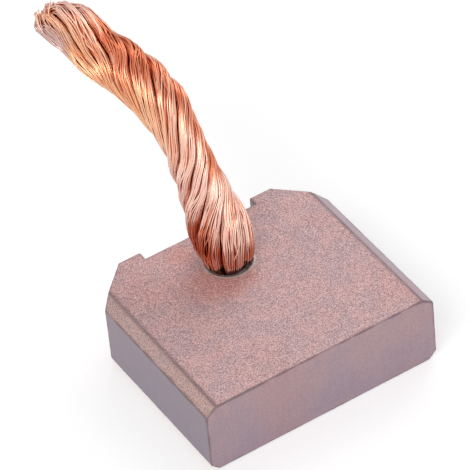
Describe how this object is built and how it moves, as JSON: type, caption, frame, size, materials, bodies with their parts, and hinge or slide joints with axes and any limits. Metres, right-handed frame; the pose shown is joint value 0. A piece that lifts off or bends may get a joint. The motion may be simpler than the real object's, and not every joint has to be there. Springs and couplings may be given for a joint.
{
  "type": "carbon brush",
  "caption": "Pressed copper-graphite brush block with bevelled edges, a recessed spring seat and a stranded copper lead tamped into its broad face.",
  "frame": {"origin": "middle of the block's flat base", "axes": "+Z out of the broad face that holds the lead, -Y out of the running face towards the commutator, +X across the block's width"},
  "size_m": [0.02, 0.0298, 0.0225],
  "materials": {
    "copper_graphite": "matt pressed and sintered copper-graphite, fine mottled grain",
    "contact_powder": "tamped silvery grey contact powder, rough",
    "copper_wire": "fine bare copper wires, bright with darker oxide between them"
  },
  "bodies": {
    "root": {"brush_block": "copper_graphite", "tamped_powder": "contact_powder", "lead_core_strand": "copper_wire", "lead_strand_1": "copper_wire", "lead_strand_2": "copper_wire", "lead_strand_3": "copper_wire", "lead_strand_4": "copper_wire", "lead_strand_5": "copper_wire", "lead_strand_6": "copper_wire"}
  },
  "joints": []
}
